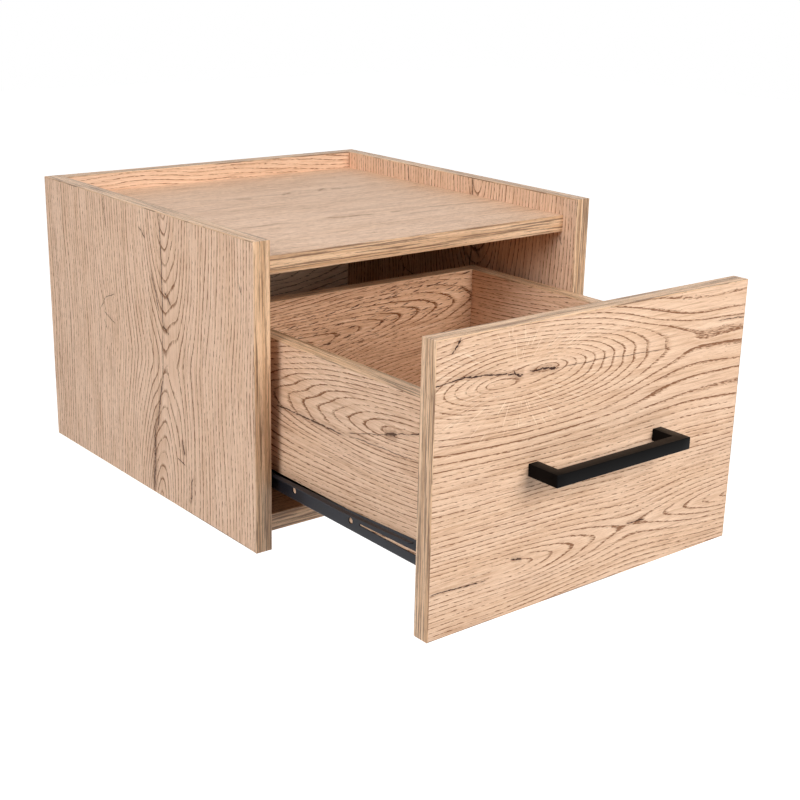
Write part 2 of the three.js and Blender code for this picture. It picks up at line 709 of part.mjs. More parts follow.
// The flange on top of that web: it follows the slope, and its front corner is rounded off.
function drawerFlange(x) {
  const frontEnd = drawerRunnerFrontY + flangeSetback;
  const rampFoot = drawerRunnerFrontY + rampLength;
  const strip = new THREE.Shape();
  strip.moveTo(drawerRunnerRearY, flangeUnderZ);
  strip.lineTo(drawerRunnerRearY, flangeTopZ);
  strip.lineTo(rampFoot, flangeTopZ);
  strip.lineTo(frontEnd, flangeTopZ + rampRise);
  strip.lineTo(frontEnd, flangeUnderZ + rampRise);
  strip.lineTo(rampFoot, flangeUnderZ);
  strip.closePath();
  const plan = new THREE.Shape();
  plan.moveTo(x[0], frontEnd);
  const corner = [x[1] - flangeCornerRadius, frontEnd + flangeCornerRadius];
  plan.absarc(...corner, flangeCornerRadius, -Math.PI / 2, 0, false);
  plan.lineTo(x[1], drawerRunnerRearY);
  plan.lineTo(x[0], drawerRunnerRearY);
  plan.closePath();
  const height = [flangeUnderZ - overrun, flangeTopZ + rampRise + overrun];
  return common(plateAcrossX(strip, x), plateAcrossZ(plan, height));
}

// Drawer runner: a folded steel angle under and beside the drawer side, with an outward flange on top.
function addDrawerRunners() {
  const webX = [drawerWebX - runnerSheet, drawerWebX];
  const web = plateAcrossX(drawerWebOutline(), webX);
  const lip = block({
    x: [drawerHalf - drawerLipWidth, drawerWebX],
    y: [drawerRunnerFrontY, drawerRunnerRearY],
    z: [runnerBaseZ, runnerBaseZ + runnerSheet],
  });
  const flange = drawerFlange([webX[0], cabinetWebX - runnerSideGap]);
  const pinPlace = new THREE.Vector3(webX[0], rearRollerY, rearRollerZ);
  const pinHole = bore(pinRadius + screwFit, runnerSheet + overrun, pinPlace, right);
  const screwHoles = drawerScrews.map((place) => woodScrewBore(runnerSheet + overrun, place, upward));
  addPair(drawer, "drawer_runner", cut(joined(web, [lip, flange]), [pinHole, ...screwHoles]), "blackSteel");
  ["front", "rear"].forEach((end, i) => {
    const screw = placed(panHeadScrew(runnerScrew), drawerScrews[i], upward);
    addPair(drawer, `drawer_runner_${end}_screw`, screw, "zinc");
  });
}

// Rollers: moulded wheels on riveted pins, two at the cabinet's front and two at the drawer's rear.
function roller() {
  const boreRadius = pinRadius + runningGap;
  const rimInner = rollerRadius - rollerRimWidth;
  return turned([
    [boreRadius, 0],
    [rollerHubRadius, 0],
    [rollerHubRadius, rollerRecess],
    [rimInner, rollerRecess],
    [rimInner, 0],
    [rollerRadius - rollerChamfer, 0],
    [rollerRadius, rollerChamfer],
    [rollerRadius, rollerWidth - rollerChamfer],
    [rollerRadius - rollerChamfer, rollerWidth],
    [boreRadius, rollerWidth],
    [boreRadius, 0],
  ], roundSides);
}

function pin() {
  const shankLength = runnerSheet + 2 * rollerSideGap + rollerWidth;
  const headTop = shankLength + pinHeadThickness;
  return turned([
    [0, 0],
    [pinRadius, 0],
    [pinRadius, shankLength],
    [pinHeadRadius, shankLength],
    [pinHeadRadius, headTop],
    [0, headTop],
  ], smallSides);
}

function addRollers() {
  const frontFace = new THREE.Vector3(frontRollerFaceX, frontRollerY, frontRollerZ);
  const rearFace = new THREE.Vector3(rearRollerFaceX, rearRollerY, rearRollerZ);
  addPair(nightstand, "front_roller", placed(roller(), frontFace, right), "blackNylon");
  addPair(drawer, "rear_roller", placed(roller(), rearFace, left), "blackNylon");
  const frontPinFoot = new THREE.Vector3(cabinetWebX + runnerSheet, frontRollerY, frontRollerZ);
  const rearPinFoot = new THREE.Vector3(drawerWebX - runnerSheet, rearRollerY, rearRollerZ);
  addPair(nightstand, "front_roller_pin", placed(pin(), frontPinFoot, left), "zinc");
  addPair(drawer, "rear_roller_pin", placed(pin(), rearPinFoot, right), "zinc");
}

addSidePanels();
addLevelPanel("top_panel", trayZ, topDowels);
addLevelPanel("bottom_panel", bottomTopZ, bottomDowels);
addBackPanel();
addHangingPlates();
addDrawerFront();
addDrawerSides();
addDrawerBack();
addPiece(drawer, "drawer_base", block(baseSheet), "hardboard");
addHandle();
addCabinetRunners();
addDrawerRunners();
addRollers();

export default nightstand;
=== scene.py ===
import copy
import math

import bmesh
import bpy
from mathutils import Matrix, Vector


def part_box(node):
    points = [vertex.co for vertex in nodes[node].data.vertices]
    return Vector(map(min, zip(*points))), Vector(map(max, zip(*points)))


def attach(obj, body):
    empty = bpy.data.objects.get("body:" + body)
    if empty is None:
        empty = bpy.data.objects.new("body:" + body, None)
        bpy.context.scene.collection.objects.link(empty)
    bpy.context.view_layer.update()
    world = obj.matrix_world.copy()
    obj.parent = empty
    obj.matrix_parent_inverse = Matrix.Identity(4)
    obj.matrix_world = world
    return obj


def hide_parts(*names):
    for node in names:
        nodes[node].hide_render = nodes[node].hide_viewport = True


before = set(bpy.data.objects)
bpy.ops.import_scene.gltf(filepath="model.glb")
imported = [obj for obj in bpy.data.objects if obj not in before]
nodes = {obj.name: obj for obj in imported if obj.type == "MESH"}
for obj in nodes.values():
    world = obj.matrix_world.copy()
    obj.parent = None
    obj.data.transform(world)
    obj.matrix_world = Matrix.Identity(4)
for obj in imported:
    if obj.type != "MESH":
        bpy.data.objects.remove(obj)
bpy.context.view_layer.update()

# The camera stands to the front left and a little above, at the photograph's viewing angle.
camera_place = Vector((-0.896, -1.484, 0.414))
camera_yaw = math.radians(-39.02)
camera_pitch = math.radians(18.08)
camera_roll = math.radians(1.32)
focal_length_in_pixels = 1407.6
picture_width_in_pixels = 800
film_width_mm = 36.0

camera_data = bpy.data.cameras.new("camera")
camera_data.sensor_width = film_width_mm
camera_data.lens = film_width_mm * focal_length_in_pixels / picture_width_in_pixels
camera = bpy.data.objects.new("camera", camera_data)
bpy.context.scene.collection.objects.link(camera)
camera.matrix_world = (
    Matrix.Translation(camera_place)
    @ Matrix.Rotation(camera_yaw, 4, "Z")
    @ Matrix.Rotation(math.pi / 2 - camera_pitch, 4, "X")
    @ Matrix.Rotation(camera_roll, 4, "Z")
)
bpy.context.scene.camera = camera
bpy.context.scene.view_settings.view_transform = "Standard"

# Studio light: large soft lamps high in front and at the left, a weaker one above, and a dim white room. The
# room and the floor look white, but give the cabinet only their dim light.
ambient_strength = 0.12


def seen_directly(tree):
    """Gives 1 where the camera, a mirror or glass looks straight at something, and 0 for its light."""
    path = tree.nodes.new("ShaderNodeLightPath")
    straight = tree.nodes.new("ShaderNodeMath")
    straight.operation = "ADD"
    tree.links.new(path.outputs["Is Camera Ray"], straight.inputs[0])
    tree.links.new(path.outputs["Is Transmission Ray"], straight.inputs[1])
    either = tree.nodes.new("ShaderNodeMath")
    either.operation = "ADD"
    either.use_clamp = True
    tree.links.new(straight.outputs[0], either.inputs[0])
    tree.links.new(path.outputs["Is Glossy Ray"], either.inputs[1])
    return either.outputs[0]


def light_the_room():
    world = bpy.data.worlds.new("room")
    bpy.context.scene.world = world
    world.use_nodes = True
    tree = world.node_tree
    tree.nodes.clear()
    shown = tree.nodes.new("ShaderNodeBackground")
    given = tree.nodes.new("ShaderNodeBackground")
    given.inputs["Strength"].default_value = ambient_strength
    for background in (shown, given):
        background.inputs["Color"].default_value = (1, 1, 1, 1)
    mix = tree.nodes.new("ShaderNodeMixShader")
    output = tree.nodes.new("ShaderNodeOutputWorld")
    tree.links.new(seen_directly(tree), mix.inputs["Fac"])
    tree.links.new(given.outputs[0], mix.inputs[1])
    tree.links.new(shown.outputs[0], mix.inputs[2])
    tree.links.new(mix.outputs[0], output.inputs["Surface"])


def add_lamp(name, place, target, size, power, tint=(1.0, 1.0, 1.0)):
    lamp_data = bpy.data.lights.new(name, "AREA")
    lamp_data.shape = "SQUARE"
    lamp_data.size = size
    lamp_data.energy = power
    lamp_data.color = tint
    lamp = bpy.data.objects.new(name, lamp_data)
    bpy.context.scene.collection.objects.link(lamp)
    aim = Vector(target) - Vector(place)
    lamp.matrix_world = Matrix.Translation(place) @ aim.to_track_quat("-Z", "Y").to_matrix().to_4x4()


light_the_room()
daylight_tint = (0.97, 0.99, 1.05)
add_lamp("front_lamp", place=(0.35, -2.35, 0.95), target=(0.0, -0.4, 0.0), size=1.0, power=35)
add_lamp("left_lamp", place=(-2.0, -0.85, 1.0), target=(0.0, -0.3, 0.0), size=1.0, power=28.5,
         tint=daylight_tint)
add_lamp("top_lamp", place=(-0.6, -0.2, 2.2), target=(0.0, -0.3, 0.0), size=1.2, power=13)


# The floor is a plain pale sheet below the cabinet, which hangs on a wall that isn't shown. It looks white,
# and throws about half of the lamps' light back up.
floor_drop = 0.42
floor_half_width = 6.0
floor_grey = 0.55
floor_glow = 0.95


def add_floor():
    bpy.ops.mesh.primitive_plane_add(size=2 * floor_half_width, location=(0, 0, -floor_drop))
    floor = bpy.context.object
    floor.name = "floor"
    material = bpy.data.materials.new("pale_floor")
    material.use_nodes = True
    tree = material.node_tree
    shader = tree.nodes["Principled BSDF"]
    shader.inputs["Base Color"].default_value = (floor_grey, floor_grey, floor_grey, 1)
    shader.inputs["Roughness"].default_value = 0.9
    shader.inputs["Emission Color"].default_value = (1, 1, 1, 1)
    glow = tree.nodes.new("ShaderNodeMath")
    glow.operation = "MULTIPLY"
    glow.inputs[1].default_value = floor_glow
    tree.links.new(seen_directly(tree), glow.inputs[0])
    tree.links.new(glow.outputs[0], shader.inputs["Emission Strength"])
    floor.data.materials.append(material)


add_floor()


# Side panels: chipboard faced on both sides with rustic-oak decor, its grain upright. Each panel's rear edge
# is raw, its other edges are banded, and dowels in its inner face hold the panels between.
board_thickness_mm = 18.0
decor_film_mm = 0.25


class Field:
    """A number that varies over a surface, worked out by Math nodes. Lengths in it are millimetres."""

    def __init__(self, tree, socket):
        self.tree = tree
        self.socket = socket

    def math(self, operation, *others):
        node = self.tree.nodes.new("ShaderNodeMath")
        node.operation = operation
        for socket, value in zip(node.inputs, (self, *others)):
            if isinstance(value, Field):
                self.tree.links.new(value.socket, socket)
            else:
                socket.default_value = value
        return Field(self.tree, node.outputs["Value"])

    def __add__(self, other):
        return self.math("ADD", other)

    def __sub__(self, other):
        return self.math("SUBTRACT", other)

    def __mul__(self, other):
        return self.math("MULTIPLY", other)

    def __truediv__(self, other):
        return self.math("DIVIDE", other)

    def flipped(self):
        """One minus this."""
        return self.math("MULTIPLY_ADD", -1.0, 1.0)

    def size(self):
        return self.math("ABSOLUTE")

    def between(self, low, high):
        """Rises softly from 0 at low to 1 at high, or falls where low is the larger."""
        ramp = self.tree.nodes.new("ShaderNodeMapRange")
        ramp.interpolation_type = "SMOOTHSTEP"
        falls = low > high
        ends = (high, low) if falls else (low, high)
        self.tree.links.new(self.socket, ramp.inputs["Value"])
        ramp.inputs["From Min"].default_value = ends[0]
        ramp.inputs["From Max"].default_value = ends[1]
        ramp.inputs["To Min"].default_value = 1.0 if falls else 0.0
        ramp.inputs["To Max"].default_value = 0.0 if falls else 1.0
        return Field(self.tree, ramp.outputs["Result"])


def hypotenuse(a, b):
    """The long side over a Field and another one, or a plain number."""
    return (a * a + b * b).math("SQRT")


class Board:
    """Where a point lies on a board: along its grain, across it and through it, from the board's middle."""

    def __init__(self, tree, directions, middle, seed):
        self.tree = tree
        self.seed = seed
        place = tree.nodes.new("ShaderNodeTexCoord")
        centred = tree.nodes.new("ShaderNodeMapping")
        centred.vector_type = "TEXTURE"
        centred.inputs["Location"].default_value = middle
        centred.inputs["Scale"].default_value = (0.001, 0.001, 0.001)
        apart = tree.nodes.new("ShaderNodeSeparateXYZ")
        tree.links.new(place.outputs["Object"], centred.inputs["Vector"])
        tree.links.new(centred.outputs["Vector"], apart.inputs["Vector"])
        self.along, self.across, self.through = (Field(tree, apart.outputs[d]) for d in directions)

    def noise(self, step_along, step_across, detail=2.0, roughness=0.5, offset=0.0, ways=None,
              step_through=45.0):
        """Smooth noise from 0 to 1, with its own step length along and across the grain, or other ways."""
        along, across = ways or (self.along, self.across)
        spot = self.tree.nodes.new("ShaderNodeCombineXYZ")
        depth = self.through / step_through + (self.seed + offset)
        for socket, value in zip(spot.inputs, (along / step_along, across / step_across, depth)):
            self.tree.links.new(value.socket, socket)
        noise = self.tree.nodes.new("ShaderNodeTexNoise")
        noise.inputs["Scale"].default_value = 1.0
        noise.inputs["Detail"].default_value = detail
        noise.inputs["Roughness"].default_value = roughness
        self.tree.links.new(spot.outputs["Vector"], noise.inputs["Vector"])
        return Field(self.tree, noise.outputs["Fac"])

    def pushed_aside(self, amount):
        """The same board, its grain pushed across by an amount that varies."""
        pushed = copy.copy(self)
        pushed.across = self.across + amount
        return pushed

    def crack(self, start, end, width, wander=2.0, bend=14.0, stain=0.2):
        """A dark split in a brown stain, which wanders from start to end and thins out at both."""
        run, rise = end[0] - start[0], end[1] - start[1]
        length = math.hypot(run, rise)
        run, rise = run / length, rise / length
        ahead, aside = self.along - start[0], self.across - start[1]
        travelled = ahead * run + aside * rise
        sideways = aside * run - ahead * rise
        shake = (self.noise(bend, bend, detail=3.0, offset=3.7) - 0.5) * (2 * wander)
        ends = (travelled / length - 0.5).size().between(0.5, 0.25)
        ragged = self.noise(5.0, 2.0, detail=3.0, offset=9.1).between(0.25, 0.65)
        half = (ends * ragged) * width + 0.02
        off_line = (sideways + shake).size()
        beside = (off_line / (half + width)).between(2.6, 0.4) * ends
        return (off_line / half).between(1.0, 0.45) * ends + beside * stain


def start_material(name):
    """Adds a material, and gives its node tree and its shader too."""
    material = bpy.data.materials.new(name)
    material.use_nodes = True
    tree = material.node_tree
    return material, tree, tree.nodes["Principled BSDF"]


def finish_surface(tree, shader, tint, roughness, height, relief):
    """Wires a colour, a roughness and a height to the shader; relief is the height's reach in metres."""
    tree.links.new(tint, shader.inputs["Base Color"])
    tree.links.new(roughness.socket, shader.inputs["Roughness"])
    bump = tree.nodes.new("ShaderNodeBump")
    bump.inputs["Distance"].default_value = relief
    tree.links.new(height.socket, bump.inputs["Height"])
    tree.links.new(bump.outputs["Normal"], shader.inputs["Normal"])


def mixed_colour(tree, amount, first, second):
    mix = tree.nodes.new("ShaderNodeMix")
    mix.data_type = "RGBA"
    sockets = (mix.inputs["Factor"], mix.inputs["A"], mix.inputs["B"])
    for value, socket in zip((amount, first, second), sockets):
        if isinstance(value, Field):
            tree.links.new(value.socket, socket)
        elif isinstance(value, bpy.types.NodeSocket):
            tree.links.new(value, socket)
        else:
            socket.default_value = value
    return mix.outputs["Result"]


def colour(red, green, blue):
    """A colour as a picture shows it, from 0 to 255, turned into the linear value that shaders take."""
    shares = (c / 255 for c in (red, green, blue))
    linear = [c / 12.92 if c <= 0.04045 else ((c + 0.055) / 1.055) ** 2.4 for c in shares]
    return (*linear, 1.0)


def hump(board, along, across, length, breadth):
    """1 at a point, falling away smoothly over a length along the grain and a breadth across it."""
    far = hypotenuse((board.along - along) / length, (board.across - across) / breadth)
    return (far * far * -1.0).math("EXPONENT")


def growth_rings(board, rings, ring_step, waviness):
    """Counts the turns of the board's rings, which drift and ripple as real ones do."""
    drift = (board.noise(170, 60, detail=1.0) - 0.5) * waviness
    ripple = (board.noise(34, 10, detail=2.0, offset=5.3) - 0.5) * (waviness * 0.1)
    wavy = board.pushed_aside(drift + ripple)
    crowding = (wavy.noise(260, 24, detail=1.0, offset=1.9) - 0.5) * 2.0
    return rings(wavy) / ring_step + crowding


def ring_strengths(tree, turns):
    """A strength of its own for each ring, from faint to full."""
    chance = tree.nodes.new("ShaderNodeTexWhiteNoise")
    chance.noise_dimensions = "1D"
    tree.links.new(turns.math("FLOOR").socket, chance.inputs["W"])
    return Field(tree, chance.outputs["Value"]) * 0.4 + 0.6


def oak_decor(name, directions, middle, seed, rings, marks=None, flecks=None, ring_step=4.6, waviness=24.0,
              contrast=1.0, tone=0.0, sheen=0.3):
    """Rustic-oak melamine: pores in rows along the growth rings, fibres, pale rays, soft tone and splits."""
    material, tree, shader = start_material(name)
    board = Board(tree, directions, middle, seed)

    turns = growth_rings(board, rings, ring_step, waviness)
    phase = turns.math("FRACT")
    patchy = board.noise(80, 16, detail=2.0, offset=7.7).between(0.3, 0.6) * 0.35 + 0.65
    early_wood = phase.between(0.0, 0.08) * phase.between(0.4, 0.1) * ring_strengths(tree, turns) * patchy
    slanted = (board.along, board.across + board.along * 0.07)
    pore_noise = board.noise(6.5, 0.75, detail=1.5, roughness=0.55, offset=2.4, ways=slanted)
    pores = (pore_noise + early_wood * 0.4).between(0.7, 0.8)
    fibres = board.noise(20, 0.4, detail=3.0, roughness=0.7, offset=4.1)
    grain = board.noise(60, 2.4, detail=3.0, roughness=0.65, offset=15.4)
    specks = board.noise(7, 0.7, detail=3.0, roughness=0.7, offset=6.6)
    cloud = board.noise(150, 22, detail=3.0, offset=8.3).between(0.3, 0.7)
    streaks = board.noise(110, 7, detail=3.0, roughness=0.6, offset=12.2).between(0.52, 0.75)

    light = colour(255, 226, 196)
    pale = colour(250, 215, 185)
    tan = colour(236, 197, 163)
    brown = colour(188, 139, 100)
    grey_brown = colour(168, 127, 96)
    pore = colour(122, 76, 44)
    stain = colour(142, 100, 72)
    split = colour(60, 36, 24)
    face = mixed_colour(tree, cloud * 0.7 + tone, pale, tan)
    face = mixed_colour(tree, streaks * (0.36 * contrast), face, grey_brown)
    face = mixed_colour(tree, grain.between(0.5, 0.7) * (0.5 * contrast), face, grey_brown)
    face = mixed_colour(tree, grain.between(0.48, 0.3) * (0.5 * contrast), face, light)
    face = mixed_colour(tree, fibres.between(0.4, 0.72) * (0.6 * contrast), face, brown)
    face = mixed_colour(tree, specks.between(0.55, 0.8) * (0.5 * contrast), face, grey_brown)
    face = mixed_colour(tree, specks.between(0.45, 0.2) * 0.4, face, light)
    face = mixed_colour(tree, phase.between(0.25, 1.0) * (0.2 * contrast), face, brown)
    face = mixed_colour(tree, early_wood * (0.56 * contrast), face, brown)
    face = mixed_colour(tree, pores * (0.85 * contrast), face, pore)
    dents = pores
    if flecks:
        face = mixed_colour(tree, flecks(board), face, light)
    if marks:
        cracks = marks(board)
        face = mixed_colour(tree, cracks, face, stain)
        face = mixed_colour(tree, cracks.between(0.5, 0.9), face, split)
        dents = dents + cracks

    flakes = board.noise(5, 5, detail=3.0, roughness=0.6, offset=11.0, step_through=1.6).between(0.35, 0.65)
    chipboard = mixed_colour(tree, flakes, colour(205, 172, 132), colour(150, 114, 78))
    skin = board_thickness_mm / 2 - decor_film_mm
    is_raw = board.through.size().between(skin, skin - decor_film_mm)
    tint = mixed_colour(tree, is_raw, face, chipboard)

    shader.inputs["Specular IOR Level"].default_value = sheen
    roughness = dents * 0.25 + fibres * 0.1 + 0.42
    finish_surface(tree, shader, tint, roughness, dents * -1.0 + fibres * 0.2, relief=0.00018)
    return material


def give_finish(piece, material):
    """Takes a piece's own materials away and gives it this one."""
    piece.data.materials.clear()
    piece.data.materials.append(material)


def laid_over(splits, strength):
    """Lays splits over each other, and weakens them all alike."""
    together = splits[0]
    for split in splits[1:]:
        together = together + split
    return together.math("MINIMUM", 1.0) * strength


def middle_of(node):
    low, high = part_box(node)
    return (low + high) / 2


def side_panel_rings(board):
    """Cathedrals from above and below meet at a waist, and straight grain runs by on both sides."""
    middle_across, middle_depth = -53.0, 56.0
    near = hump(board, along=0.0, across=middle_across, length=400.0, breadth=90.0)
    lean = (board.along + 10.0).math("MINIMUM", 0.0) * near * 0.19
    aside = board.across - middle_across + lean
    depth = hypotenuse(board.along, 20.0) * -0.33 + middle_depth
    knot = hump(board, along=25.0, across=70.0, length=26.0, breadth=16.0) * 8.0
    return hypotenuse(aside, depth) + knot


def side_panel_marks(board):
    """Long upright splits in the figure, a curved one round a knot, and short ones near the front."""
    return laid_over([
        board.crack((180, -43), (96, -46), 1.2, wander=2.0, stain=0.3),
        board.crack((124, -46), (20, -46), 1.3, wander=2.5, stain=0.3),
        board.crack((38, -45), (-34, -42), 0.8, stain=0.3),
        board.crack((-14, -44), (-84, -26), 1.5, wander=3.0, stain=0.4),
        board.crack((-58, -24), (-165, -16), 1.8, wander=4.0, stain=0.4),
        board.crack((-40, -30), (-175, -14), 7.0, wander=5.0, stain=0.6) * 0.25,
        board.crack((134, 0), (120, -16), 0.9, stain=0.4),
        board.crack((96, -22), (44, -42), 1.2, stain=0.3),
        board.crack((74, -50), (60, -64), 1.4, wander=4.0, bend=8.0, stain=0.5),
        board.crack((38, -44), (30, -60), 1.6, wander=4.0, bend=8.0, stain=0.5),
        board.crack((156, 76), (114, 70), 0.7, stain=0.3),
        board.crack((50, 54), (40, 82), 0.6, wander=3.0, stain=0.1),
        board.crack((44, 76), (26, 91), 0.6, wander=3.0, stain=0.1),
        board.crack((26, 86), (15, 54), 0.8, wander=2.0, stain=0.1),
        board.crack((18, 84), (4, 76), 0.5, wander=2.0, stain=0.1),
        board.crack((120, 196), (-30, 192), 1.6, wander=5.0, bend=8.0, stain=0.3) * 0.4,
        board.crack((-10, 204), (-140, 186), 1.6, wander=6.0, bend=8.0, stain=0.3) * 0.4,
        board.crack((60, 168), (-150, 164), 1.0, wander=3.0, bend=8.0, stain=0.3) * 0.4,
        board.crack((-74, -78), (-94, -84), 1.8, stain=0.5),
        board.crack((-98, -66), (-103, -86), 1.2),
        board.crack((-106, -98), (-148, -92), 1.4, wander=5.0, bend=8.0, stain=0.4),
        board.crack((112, -189), (98, -196), 0.7),
    ], 0.8)


side_panel_seeds = {"left_side_panel": 2.0, "right_side_panel": 13.0}
for node, seed in side_panel_seeds.items():
    give_finish(nodes[node], oak_decor(
        f"{node}_oak", ("Z", "Y", "X"), middle_of(node), seed, rings=side_panel_rings,
        marks=side_panel_marks, ring_step=5.2, waviness=10.0))


# Top and bottom panels: the same board with its grain from left to right, dowelled between the sides. The
# top one lies lower than the sides, so that it makes a tray.
def level_panel_rings(board):
    """Nearly straight grain."""
    return board.across + board.along * 0.03 + 300.0


def level_panel_marks(board):
    """A row of small dark knots towards the rear, and a broken split nearer the front."""
    return laid_over([
        board.crack((-56, 71), (-30, 66), 1.8, stain=0.5),
        board.crack((6, 66), (28, 79), 1.5, stain=0.5),
        board.crack((58, 68), (78, 82), 1.8, stain=0.5),
        board.crack((80, 76), (94, 69), 1.5, stain=0.5),
        board.crack((-40, -72), (36, -83), 1.8, wander=4.0, stain=0.5),
        board.crack((46, -82), (64, -82), 1.4, stain=0.5),
        board.crack((80, -76), (190, -90), 0.9, wander=4.0, stain=0.5),
        board.crack((-190, -74), (-70, -70), 0.6, wander=4.0, stain=0.5),
    ], 0.6)


level_panel_seeds = {"top_panel": 21.0, "bottom_panel": 27.0}
for node, seed in level_panel_seeds.items():
    give_finish(nodes[node], oak_decor(
        f"{node}_oak", ("X", "Y", "Z"), middle_of(node), seed, rings=level_panel_rings,
        marks=level_panel_marks, ring_step=4.0, contrast=0.9, tone=0.1, sheen=0.5))


# Back panel: the same board with its grain level, dowelled between the sides. It carries the cabinet on the
# wall, and its upper end is the rear rail of the tray.
def back_panel_rings(board):
    """Long tongues that point to the left."""
    return hypotenuse(board.across - 20.0, board.along * 0.15 + 30.0)


give_finish(nodes["back_panel"], oak_decor(
    "back_panel_oak", ("X", "Z", "Y"), middle_of("back_panel"), seed=34.0, rings=back_panel_rings,
    contrast=0.85))


# Cabinet edge bands: 1 mm strips glued on the boards' edges, printed with fine lengthwise grain. Their long
# outer edges are rounded off with a scraper.
band_rounding = 0.0005
band_rounding_steps = 3
smooth_below = math.radians(30)


def add_block(name, low, high):
    """Adds a block between two corners and leaves it in edit mode."""
    bpy.ops.object.select_all(action="DESELECT")
    bpy.ops.mesh.primitive_cube_add(size=1.0)
    block = bpy.context.object
    block.name = name
    block.data.name = name
    bpy.ops.object.mode_set(mode="EDIT")
    bpy.ops.transform.resize(value=high - low)
    bpy.ops.transform.translate(value=(low + high) / 2)
    return block


def select_edges(piece, wanted):
    """In edit mode, selects the edges that pass a test, and nothing else."""
    bpy.ops.mesh.select_mode(type="EDGE")
    bpy.ops.mesh.select_all(action="DESELECT")
    shape = bmesh.from_edit_mesh(piece.data)
    for edge in shape.edges:
        edge.select_set(wanted(edge))
    bmesh.update_edit_mesh(piece.data)


def select_faces(piece, wanted):
    """In edit mode, selects the faces that pass a test, and nothing else."""
    bpy.ops.mesh.select_mode(type="FACE")
    bpy.ops.mesh.select_all(action="DESELECT")
    shape = bmesh.from_edit_mesh(piece.data)
    for face in shape.faces:
        face.select_set(wanted(face))
    bmesh.update_edit_mesh(piece.data)


def finish_piece(piece, material, body, slot, *replaced):
    """Leaves edit mode, smooths the rounded edges, and says what the piece is finished in and rides on."""
    bpy.ops.object.mode_set(mode="OBJECT")
    bpy.ops.object.shade_smooth_by_angle(angle=smooth_below)
    give_finish(piece, material)
    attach(piece, body)
    if replaced:
        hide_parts(*replaced)


def edge_band_print(name, directions, middle, seed):
    """Printed plastic edging: olive-tan strips and a few darker lines, all lengthwise."""
    material, tree, shader = start_material(name)
    band = Board(tree, directions, middle, seed)
    strips = band.noise(240, 4.5, detail=2.0, roughness=0.6).between(0.32, 0.68)
    lines = band.noise(80, 1.4, detail=3.0, roughness=0.65, offset=3.3).between(0.5, 0.59)
    pores = band.noise(9, 0.5, detail=1.0, offset=7.1).between(0.56, 0.7)
    tint = mixed_colour(tree, strips, colour(242, 203, 164), colour(203, 160, 120))
    tint = mixed_colour(tree, lines * 0.8, tint, colour(108, 74, 47))
    tint = mixed_colour(tree, pores * 0.5, tint, colour(104, 74, 48))
    finish_surface(tree, shader, tint, pores * 0.15 + 0.4, (pores + lines).flipped(), relief=0.00008)
    return material


def add_edge_band(node, outward, body, seed):
    """Puts a rounded strip in a band's place; outward is the way that its board's edge faces."""
    low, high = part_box(node)
    name = node.replace("_band", "_edging")
    band = add_block(name, low, high)
    size = high - low
    thin, middle, long = sorted(range(3), key=lambda axis: size[axis])
    facing = Vector(outward)
    outer_side = max(low.dot(facing), high.dot(facing)) - band_rounding / 10

    def is_long_outer_edge(edge):
        start, end = (corner.co for corner in edge.verts)
        lies_outside = min(start.dot(facing), end.dot(facing)) > outer_side
        return lies_outside and abs(start[long] - end[long]) > size[long] / 2

    select_edges(band, is_long_outer_edge)
    bpy.ops.mesh.bevel(offset=band_rounding, segments=band_rounding_steps)
    directions = ["XYZ"[axis] for axis in (long, middle, thin)]
    print_on_it = edge_band_print(f"{name}_print", directions, (low + high) / 2, seed)
    finish_piece(band, print_on_it, body, "oak_edge_band", node)


forward, rearward = (0, -1, 0), (0, 1, 0)
leftward, rightward = (-1, 0, 0), (1, 0, 0)
downward, upward = (0, 0, -1), (0, 0, 1)
cabinet_bands = {
    "left_side_front_band": forward,
    "right_side_front_band": forward,
    "left_side_top_band": upward,
    "right_side_top_band": upward,
    "left_side_bottom_band": downward,
    "right_side_bottom_band": downward,
    "top_panel_front_band": forward,
    "bottom_panel_front_band": forward,
    "back_panel_top_band": upward,
}
for number, (node, outward) in enumerate(cabinet_bands.items()):
    add_edge_band(node, outward, "cabinet", seed=70.0 + number)


# Drawer front: a single board with its grain level, which closes between the side panels. An oval figure
# round two knots marks its upper left.
def drawer_front_rings(board):
    """Ovals round two knots, straight grain that bends in behind them, and a flat eye lower down."""
    def from_knot(along, across):
        ahead = board.along - along
        aside = board.across - across + ahead.math("MAXIMUM", 0.0) * 0.04
        return hypotenuse((ahead.size() * 0.242).math("SMOOTH_MIN", 46.0, 8.0), aside)

    ovals = (from_knot(-126, 85) * from_knot(-68, 92)).math("SQRT")
    waist = hypotenuse(board.along - 50.0, 24.0)
    eye = hypotenuse(board.across + 87.0, (waist * -0.16 + 26.0).math("MAXIMUM", 2.0))
    lower = board.across.between(5.0, -60.0)
    figure = ovals * lower.flipped() + (eye * -1.0 + 175.0) * lower
    crowded, spread = figure.between(0.0, 40.0) * 12.0, figure.between(48.0, 78.0) * 11.0
    return figure + crowded - spread


def drawer_front_flecks(board):
    """Short pale rays that cross the rings round the knots."""
    ahead, aside = (board.along + 104.0) * 0.42, board.across - 86.0
    radius = hypotenuse(ahead, aside)
    bearing = ahead.math("ARCTAN2", aside) * 40.0
    strokes = board.noise(16, 0.9, detail=1.0, offset=14.0, ways=(radius, bearing)).between(0.6, 0.72)
    return strokes * radius.between(12.0, 18.0) * radius.between(60.0, 34.0) * 0.7


